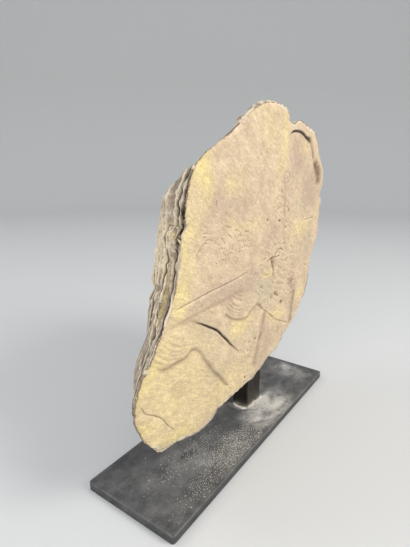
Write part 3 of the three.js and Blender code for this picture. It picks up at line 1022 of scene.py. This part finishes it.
TAN = (0.64, 0.49, 0.33, 1)
PALE_TAN = (0.757, 0.598, 0.402, 1)
YELLOW_TAN = (0.83, 0.67, 0.325, 1)
PINK_TAN = (0.55, 0.41, 0.31, 1)
SAGE_TAN = (0.58, 0.49, 0.34, 1)
BREAK_GREY = (0.36, 0.293, 0.222, 1)
BREAK_PALE = (0.66, 0.55, 0.41, 1)
BREAK_FRESH = (0.80, 0.65, 0.43, 1)
BREAK_AGED = (0.64, 0.64, 0.66, 1)
# Pale crests: partly wear, partly a painted highlight.
CREST_WEAR_AND_HIGHLIGHT = (0.88, 0.74, 0.55, 1)
# Painted highlight along the rim.
RIM_HIGHLIGHT = (0.90, 0.82, 0.71, 1)
# Brown for the carving's lines and pits, partly stain and partly painted shade.
STAIN_AND_SHADE_BROWN = (0.36, 0.25, 0.165, 1)
# Dark brown, for painted shade in fine hollows, pores and the darkest lines.
HOLLOW_SHADE_BROWN = (0.25, 0.165, 0.105, 1)
# Near black, for painted shade in crevices and the deepest cuts.
NEAR_BLACK_SHADE = (0.04, 0.028, 0.02, 1)
STREAK_FALL = 25.0  # the bedding's slope across the face, in degrees


def sandstone():
    """Tan sandstone: toned patches, grain, pores, layered breaks and dark crevices, with painted
    shade in hollows, cuts and crevices and painted highlights on crests and the rim.
    """
    paint = Paint("sandstone")
    clouds = paint.noise(38, 4)
    mottle = paint.noise(9, 4, roughness=0.6)
    grain = paint.noise(1.3, 2)
    coarse = paint.noise(3.6, 3, roughness=0.6)
    streaks = paint.noise(3.4, 4, roughness=0.6, stretch=(5, 2, 1), turn=STREAK_FALL)
    dabs = paint.noise(7, 3, roughness=0.55, stretch=(3.2, 3, 1), turn=STREAK_FALL)
    colour = paint.mix(paint.between(clouds, 0.35, 0.65), TAN, PALE_TAN)
    for name, shade in (("pink", PINK_TAN), ("sage", SAGE_TAN), ("yellow", YELLOW_TAN)):
        patchy = paint.between(dabs, 0.3, 0.65, 0.7)
        colour = paint.mix(paint.maths("MULTIPLY", paint.stored(name), patchy), colour, shade)

    beds = paint.noise(5, 4, roughness=0.62, stretch=(7, 1, 7))
    blotches = paint.noise(16, 3, roughness=0.6)
    bedding = paint.between(beds, 0.36, 0.66, 0, 0.65)
    break_shade = paint.maths("ADD", bedding, paint.between(blotches, 0.35, 0.65, 0, 0.45))
    break_colour = paint.mix(paint.between(break_shade, 0.1, 0.95), BREAK_GREY, BREAK_PALE)
    fresh = paint.between(paint.stored("fresh"), 0, 1, 0, 0.6)
    break_colour = paint.mix(fresh, break_colour, BREAK_FRESH)
    break_colour = paint.mix(paint.stored("aged"), break_colour, BREAK_AGED, "MULTIPLY")
    colour = paint.mix(paint.stored("broken"), colour, break_colour)

    speckle = paint.between(grain, 0.32, 0.68, 0.92, 1.08)
    for pattern, low, high in (
        (mottle, 0.93, 1.08), (coarse, 0.9, 1.1), (streaks, 0.9, 1.1), (dabs, 0.92, 1.08),
    ):
        speckle = paint.maths("MULTIPLY", speckle, paint.between(pattern, 0.32, 0.68, low, high))
    grey = paint.node("CombineColor", Red=speckle, Green=speckle, Blue=speckle).outputs["Color"]
    colour = paint.mix(1.0, colour, grey, "MULTIPLY")

    # Pores darkened with painted shade.
    pores = paint.node("TexVoronoi", Vector=paint.where(), Scale=1 / (7 * MM))
    pores = paint.between(pores.outputs["Distance"], 0.06, 0.2, 1, 0)
    pores = paint.maths("MULTIPLY", pores, paint.between(mottle, 0.5, 0.6))
    colour = paint.mix(paint.maths("MULTIPLY", pores, 0.5), colour, HOLLOW_SHADE_BROWN)
    # Painted highlights on the crests, where they stand for wear too, and along the rim; painted
    # shade in the broad hollows.
    for name, low, high, most, shade in (
        ("proud_fine", 0.12, 0.9, 0.6, CREST_WEAR_AND_HIGHLIGHT), ("proud_broad", 0.2, 1, 0.5, CREST_WEAR_AND_HIGHLIGHT),
        ("hollow_broad", 0.15, 1, 0.45, BREAK_GREY), ("rim", 0.1, 1, 0.7, RIM_HIGHLIGHT),
    ):
        colour = paint.mix(paint.between(paint.stored(name), low, high, 0, most), colour, shade)
    # Brown in the carving, partly stain and partly painted shade; where it is strongest, a darker
    # brown of painted shade.
    stain_and_shade = paint.maths("MULTIPLY", paint.stored("stain_and_shade"), paint.between(mottle, 0.3, 0.7, 0.7, 1.2))
    colour = paint.mix(paint.between(stain_and_shade, 0.08, 1, 0, 0.85), colour, STAIN_AND_SHADE_BROWN)
    colour = paint.mix(paint.between(stain_and_shade, 0.75, 1.4, 0, 0.75), colour, HOLLOW_SHADE_BROWN)
    # Painted shade in the fine hollows, broken up by the grain.
    lines = paint.between(coarse, 0.2, 0.7, 0.8, 1.15)
    lines = paint.maths("MULTIPLY", paint.stored("hollow_fine"), lines)
    colour = paint.mix(paint.between(lines, 0.15, 1, 0, 0.7), colour, HOLLOW_SHADE_BROWN)
    # Near-black painted shade in crevices and the deepest cuts.
    painted_shade = paint.maths("MULTIPLY", paint.stored("painted_shade"), paint.between(coarse, 0.2, 0.7, 0.8, 1.1))
    colour = paint.mix(paint.between(painted_shade, 0.15, 0.9), colour, NEAR_BLACK_SHADE)

    height = paint.maths("ADD", paint.maths("MULTIPLY", coarse, 1.6), grain)
    height = paint.maths("ADD", height, streaks)
    height = paint.maths("SUBTRACT", height, pores)
    paint.into(
        Base_Color=colour,
        Roughness=paint.between(mottle, 0.3, 0.7, 0.86, 0.97),
        Normal=paint.bump(height, 1.0, 0.9),
    )
    paint.shader.inputs["Specular IOR Level"].default_value = 0.25
    return paint.material


BLACK_PAINT = (0.034, 0.034, 0.036, 1)
WORN_STEEL = (0.075, 0.075, 0.08, 1)
BARE_EDGE = (0.16, 0.155, 0.15, 1)
POST_BLACK = (0.022, 0.019, 0.015, 1)
POST_BROWN = (0.06, 0.05, 0.038, 1)
POST_BLOTCH = (0.09, 0.075, 0.055, 1)
STONE_DUST = (0.62, 0.59, 0.535, 1)
SAND_DARK = (0.56, 0.52, 0.44, 1)
SAND_PALE = (0.76, 0.72, 0.63, 1)


def plate_finish():
    """Blackened steel: worn edges, dull scuffs, and stone dust that was partly wiped away."""
    paint = Paint("blackened_plate")
    smear = paint.noise(22, 5, roughness=0.62, stretch=(1.6, 1, 1))
    cloud = paint.noise(70, 3)
    speck = paint.noise(2.2, 3, roughness=0.7)
    scuff = paint.noise(9, 5, roughness=0.7, stretch=(2.5, 2.5, 1))
    colour = paint.mix(paint.between(scuff, 0.4, 0.75), BLACK_PAINT, WORN_STEEL)
    colour = paint.mix(paint.stored("worn"), colour, BARE_EDGE)
    haze = paint.maths("MULTIPLY", paint.stored("dust"), paint.between(smear, 0.32, 0.68, 0.25, 1.65))
    haze = paint.maths("MULTIPLY", haze, paint.between(speck, 0.33, 0.67, 0.55, 1.4))
    haze = paint.maths("MULTIPLY", haze, paint.between(cloud, 0.3, 0.7, 0.75, 1.2))
    flecks = paint.between(paint.noise(1.8, 2), 0.6, 0.7)
    flecks = paint.maths("MULTIPLY", flecks, paint.between(paint.stored("dust"), 0.09, 0.24, 0, 0.4))
    haze = paint.between(paint.maths("ADD", haze, flecks), 0.0, 1.0)
    colour = paint.mix(haze, colour, STONE_DUST)
    bare = paint.between(scuff, 0.3, 0.8, 0.5, 0.62)
    paint.into(
        Base_Color=colour,
        Roughness=paint.maths("ADD", bare, paint.maths("MULTIPLY", haze, 0.4)),
        Normal=paint.bump(paint.maths("ADD", speck, scuff), 0.12, 0.5),
    )
    paint.shader.inputs["Metallic"].default_value = 0.0
    paint.shader.inputs["Specular IOR Level"].default_value = 0.22
    return paint.material


def post_finish():
    """Dark bronzed bar with faint upright streaks and a dusty foot."""
    paint = Paint("dark_post")
    streaks = paint.noise(5, 4, roughness=0.6, stretch=(1, 1, 8))
    blotch = paint.noise(16, 3)
    colour = paint.mix(paint.between(streaks, 0.35, 0.65), POST_BLACK, POST_BROWN)
    colour = paint.mix(paint.between(blotch, 0.5, 0.75, 0, 0.5), colour, POST_BLOTCH)
    colour = paint.mix(paint.stored("dust"), colour, STONE_DUST)
    paint.into(
        Base_Color=colour,
        Roughness=paint.between(blotch, 0.3, 0.7, 0.32, 0.5),
        Normal=paint.bump(streaks, 0.08, 0.5),
    )
    paint.shader.inputs["Metallic"].default_value = 0.55
    return paint.material


def sand_finish():
    """Loose grains and dust off the stone."""
    paint = Paint("loose_sand")
    patches = paint.noise(6, 2)
    colour = paint.mix(paint.between(patches, 0.35, 0.65), SAND_DARK, SAND_PALE)
    paint.into(
        Base_Color=colour,
        Roughness=paint.between(patches, 0.3, 0.7, 0.85, 0.98),
        Normal=paint.bump(paint.noise(0.8, 2), 0.15, 0.6),
    )
    return paint.material


# ------------------------------------------------------------------ the stand

# How round the upright corners and the other edges are, and how fine the mesh is cut.
PLATE_BAR = {"corner": 6.0, "bevel": 1.1, "cell": 4.0}
POST_BAR = {"corner": 1.2, "bevel": 0.4, "cell": 5.0}

# Dust on the plate and where it is wiped off: x, y from the plate's middle, width, height,
# strength and turn. HAZE is the dust that lies everywhere.
DUST = [
    (-170, -30, 250, 150, 0.04, 0.0), (-90, -60, 180, 90, 0.12, 0.0), (-215, 5, 110, 60, 0.04, 0.0),
    (90, -28, 66, 22, 1.0, 0.0), (46, 0, 11, 40, 0.9, 0.0), (86, -48, 116, 46, 0.65, 0.1),
    (112, -80, 84, 44, 0.62, 0.2), (52, -84, 90, 34, 0.32, 0.0), (20, -52, 60, 26, 0.22, -0.3),
    (276, -8, 66, 60, 0.38, 0.1), (262, -60, 60, 46, 0.24, 0.2), (150, 2, 70, 34, 0.13, 0.3),
]
WIPED = [
    (-298, -12, 40, 60, 0.85, 0.0), (-34, -28, 62, 32, 1.0, -0.1), (10, 12, 36, 46, 0.6, 0.2),
    (36, -22, 50, 9, 0.95, -0.75), (166, -10, 26, 24, 0.8, 0.0), (224, -38, 50, 40, 0.8, 0.3),
    (-215, 82, 120, 60, 0.8, 0.0), (18, -70, 44, 7, 0.7, -0.6), (165, -88, 60, 22, 0.6, 0.2),
    (222, 0, 12, 60, 0.8, 0.3), (-318, 30, 24, 150, 0.7, 0.0), (316, 0, 14, 190, 0.85, 0.0),
    (180, -60, 60, 30, 0.5, 0.3), (300, -85, 60, 30, 0.6, 0.3), (-120, 20, 70, 30, 0.5, 0.1),
]
HAZE = 0.03


def rounded_bar(name, low, high, corner, bevel, cell):
    """A bar with round upright corners and soft edges, cut into cells."""
    mesh = bmesh.new()
    size = high - low
    middle = Matrix.Translation((low + high) / 2) @ Matrix.Diagonal((*size, 1))
    bmesh.ops.create_cube(mesh, size=1, matrix=middle)
    upright = [
        edge for edge in mesh.edges
        if abs(edge.verts[0].co.z - edge.verts[1].co.z) > size.z / 2
    ]
    bmesh.ops.bevel(
        mesh, geom=upright, offset=corner * MM, segments=6, profile=0.5, affect="EDGES",
    )
    rims = [
        edge for edge in mesh.edges
        if abs(edge.verts[0].co.z - edge.verts[1].co.z) < 1e-6
        and min(abs(edge.verts[0].co.z - low.z), abs(edge.verts[0].co.z - high.z)) < 1e-6
    ]
    bmesh.ops.bevel(mesh, geom=rims, offset=bevel * MM, segments=3, profile=0.5, affect="EDGES")
    for axis in range(3):
        count = int(size[axis] / (cell * MM))
        for cut in range(1, count):
            point, direction = Vector(low), Vector((0, 0, 0))
            point[axis] = low[axis] + size[axis] * cut / count
            direction[axis] = 1
            bmesh.ops.bisect_plane(
                mesh, geom=mesh.verts[:] + mesh.edges[:] + mesh.faces[:],
                plane_co=point, plane_no=direction,
            )
    return mesh_object(name, mesh, smooth=True)


def dust_at(flat):
    """How dusty the plate's top is at points from its middle, in millimetres."""
    wander = np.stack([flat[:, 0], flat[:, 1], np.zeros(len(flat))], 1)
    flat = flat + 7 * np.stack([rough(wander, 28, 71), rough(wander, 28, 72)], 1)
    dust = np.full(len(flat), HAZE)
    for x, y, width, height, strength, turn in DUST:
        dust += strength * patch(flat, x, y, width, height, turn, 2)
    for x, y, width, height, strength, turn in WIPED:
        dust *= 1 - strength * patch(flat, x, y, width, height, turn, 2.6)
    return dust


def add_plate():
    """The flat plate, with its dust and worn edges."""
    plate = rounded_bar("base_plate_steel", PLATE_LOW, PLATE_HIGH, **PLATE_BAR)
    places = corners(plate.data) / MM
    top = PLATE_HIGH.z / MM
    on_top = ramp(places[:, 2], top - 1.5, top - 0.2)
    paint_on(plate.data, "dust", on_top * dust_at(places[:, :2]) + 0.06)
    half = np.array([PLATE_HIGH.x, PLATE_HIGH.y]) / MM
    from_side = np.min(half - np.abs(places[:, :2]), axis=1)
    edge = np.exp(-np.hypot(from_side, top - places[:, 2]) / 1.6)
    paint_on(plate.data, "worn", edge * (0.6 + 0.6 * rough(places, 24, 75)))
    plate.data.materials.append(plate_finish())
    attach(plate, "root")
    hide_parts("base_plate")


def add_post():
    """The bar between the plate and the slab."""
    bar = rounded_bar("post_bar", POST_LOW, POST_HIGH, **POST_BAR)
    points = corners(bar.data) / MM
    height = points[:, 2] - POST_LOW.z / MM
    paint_on(bar.data, "dust", 0.55 * np.exp(-height / 4) * (1 + rough(points, 9, 77)))
    bar.data.materials.append(post_finish())
    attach(bar, "root")
    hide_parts("post")


# The dust heap at the post's foot: how far it reaches and how high, how wide a field it is cut
# from, how fine that is, and how deep its edge and its underside are sunk in the plate.
HEAP = {"reach": 8.5, "peak": 1.5, "spread": 22.0, "cell": 1.5, "sunk": 0.25, "under": 0.6}


def add_foot_dust():
    """A low ragged heap of stone dust against the post's left and front faces."""
    low = (Vector(POST_LOW[:2]) / MM).to_tuple()
    high = (Vector(POST_HIGH[:2]) / MM).to_tuple()
    top = PLATE_HIGH.z / MM
    across = int((high[0] - low[0] + 2 * HEAP["spread"]) / HEAP["cell"])
    along = int((high[1] - low[1] + 2 * HEAP["spread"]) / HEAP["cell"])
    xs = np.linspace(low[0] - HEAP["spread"], high[0] + HEAP["spread"], across + 1)
    ys = np.linspace(low[1] - HEAP["spread"], high[1] + HEAP["spread"], along + 1)
    grid = np.stack(np.meshgrid(xs, ys, indexing="ij"), -1).reshape(-1, 2)
    points = np.column_stack([grid, np.zeros(len(grid))])
    wander = points + 4 * np.stack([rough(points, 16, seed) for seed in (61, 62, 63)], 1)
    left, right = low[0] - wander[:, 0], wander[:, 0] - high[0]
    front, behind = low[1] - wander[:, 1], wander[:, 1] - high[1]
    away = np.hypot(
        np.maximum(np.maximum(left, right), 0),
        np.maximum(np.maximum(front, behind), 0),
    )
    sides = ramp(np.maximum(left, front), -3, 2) * ramp(-right, -14, -4) * ramp(-behind, -2, 8)
    sides *= 1 - patch(grid, low[0] + 1, low[1] - 6, 26, 14, -0.75, 3)
    height = HEAP["peak"] * sides * np.exp(-(away / HEAP["reach"]) ** 2)
    height += 0.4 * layered(points, 7, 65, 3) * sides - 0.35
    inside = (grid > np.array(low) + 2).all(1) & (grid < np.array(high) - 2).all(1)
    shown = (height > -HEAP["sunk"]) & ~inside

    mesh = bmesh.new()
    lifted = top + np.maximum(height, -HEAP["sunk"])
    verts = [mesh.verts.new((x * MM, y * MM, z * MM)) for (x, y), z in zip(grid, lifted)]
    for column in range(across):
        for row in range(along):
            first = column * (along + 1) + row
            cell = (first, first + along + 1, first + along + 2, first + 1)
            if sum(shown[corner] for corner in cell) >= 3:
                mesh.faces.new([verts[corner] for corner in cell])
    spare = [vert for vert in mesh.verts if not vert.link_faces]
    bmesh.ops.delete(mesh, geom=spare, context="VERTS")
    under = bmesh.ops.extrude_face_region(mesh, geom=mesh.faces[:], use_keep_orig=True)["geom"]
    for part in under:
        if isinstance(part, bmesh.types.BMVert):
            part.co.z = (top - HEAP["under"]) * MM
    bmesh.ops.recalc_face_normals(mesh, faces=mesh.faces)
    heap = mesh_object("foot_dust", mesh, smooth=True)
    heap.data.materials.append(sand_finish())
    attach(heap, "root")


# Where loose grains lie on the plate: x, y, width, height, share of the density.
GRAINS = [
    (-80, -60, 160, 62, 1.0), (-60, -86, 200, 22, 0.9), (-190, -78, 150, 40, 0.35),
    (-120, -5, 120, 50, 0.3), (-215, -20, 110, 90, 0.10), (40, -58, 110, 60, 0.3),
]
BED = {"cells": (128, 36), "margin": (16, 12), "lift": 0.15}  # the sheet that grains strew over
GRAIN = {"smallest": 0.25, "largest": 0.85, "per_square_metre": 190_000, "seed": 7}


def grain_tree(material):
    """A node tree that strews tumbled grains over a bed, thicker where its share is high."""
    tree = bpy.data.node_groups.new("strewn_grains", "GeometryNodeTree")
    face = tree.interface
    face.new_socket("Geometry", in_out="INPUT", socket_type="NodeSocketGeometry")
    sockets = {}
    for name, kind in (
        ("Smallest", "Float"), ("Largest", "Float"), ("Density", "Float"), ("Seed", "Int"),
    ):
        made = face.new_socket(name, in_out="INPUT", socket_type="NodeSocket" + kind)
        sockets[name] = made.identifier
    face.new_socket("Geometry", in_out="OUTPUT", socket_type="NodeSocketGeometry")

    def node(kind, **inputs):
        made = tree.nodes.new(kind)
        for key, value in inputs.items():
            if isinstance(value, bpy.types.NodeSocket):
                tree.links.new(value, made.inputs[key.replace("_", " ")])
            else:
                made.inputs[key.replace("_", " ")].default_value = value
        return made

    given = tree.nodes.new("NodeGroupInput").outputs
    share = tree.nodes.new("GeometryNodeInputNamedAttribute")
    share.data_type = "FLOAT"
    share.inputs["Name"].default_value = "share"
    density = tree.nodes.new("ShaderNodeMath")
    density.operation = "MULTIPLY"
    tree.links.new(given["Density"], density.inputs[0])
    tree.links.new(share.outputs["Attribute"], density.inputs[1])
    points = node(
        "GeometryNodeDistributePointsOnFaces",
        Mesh=given["Geometry"], Density=density.outputs[0], Seed=given["Seed"],
    )
    size = tree.nodes.new("FunctionNodeRandomValue")
    size.data_type = "FLOAT"
    low, high = [
        socket for socket in size.inputs if socket.enabled and socket.name in ("Min", "Max")
    ]
    tree.links.new(given["Smallest"], low)
    tree.links.new(given["Largest"], high)
    tree.links.new(given["Seed"], size.inputs["Seed"])
    result = [socket for socket in size.outputs if socket.enabled][0]
    turn = tree.nodes.new("FunctionNodeRandomValue")
    turn.data_type = "FLOAT_VECTOR"
    most = [socket for socket in turn.inputs if socket.enabled and socket.name == "Max"][0]
    most.default_value = (math.tau, math.tau, math.tau)
    turned = [socket for socket in turn.outputs if socket.enabled][0]
    grain = node("GeometryNodeMeshIcoSphere", Radius=1.0, Subdivisions=1)
    strewn = node(
        "GeometryNodeInstanceOnPoints", Points=points.outputs["Points"],
        Instance=grain.outputs["Mesh"], Rotation=turned, Scale=result,
    )
    real = node("GeometryNodeRealizeInstances", Geometry=strewn.outputs["Instances"])
    painted = node("GeometryNodeSetMaterial", Geometry=real.outputs["Geometry"], Material=material)
    out = tree.nodes.new("NodeGroupOutput")
    tree.links.new(painted.outputs["Geometry"], out.inputs["Geometry"])
    return tree, sockets


def add_grains():
    """Loose sand strewn over the plate's front half."""
    mesh = bmesh.new()
    across, along = BED["cells"]
    bmesh.ops.create_grid(mesh, x_segments=across, y_segments=along, size=0.5)
    reach = (PLATE_HIGH - PLATE_LOW) / MM - Vector((*BED["margin"], 0))
    top = PLATE_HIGH.z + BED["lift"] * MM
    for vert in mesh.verts:
        vert.co = Vector((vert.co.x * reach.x * MM, vert.co.y * reach.y * MM, top))
    bed = mesh_object("sand_grains", mesh)
    places = corners(bed.data) / MM
    share = np.zeros(len(places))
    for x, y, width, height, strength in GRAINS:
        share = np.maximum(share, strength * patch(places[:, :2], x, y, width, height, 0, 2.6))
    for x, y, width, height, strength, turn in WIPED:
        share *= 1 - strength * patch(places[:, :2], x, y, width, height, turn, 2.6)
    share *= 0.5 + ramp(layered(places, 26, 67, 3), -0.3, 0.5)
    paint_on(bed.data, "share", share)
    tree, sockets = grain_tree(sand_finish())
    modifier = bed.modifiers.new("grains", "NODES")
    modifier.node_group = tree
    for name, value in (
        ("Smallest", GRAIN["smallest"] * MM), ("Largest", GRAIN["largest"] * MM),
        ("Density", float(GRAIN["per_square_metre"])), ("Seed", GRAIN["seed"]),
    ):
        modifier[sockets[name]] = value
    finished(bed)
    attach(bed, "root")


add_camera()
add_studio()
add_slab()
add_plate()
add_post()
add_foot_dust()
add_grains()
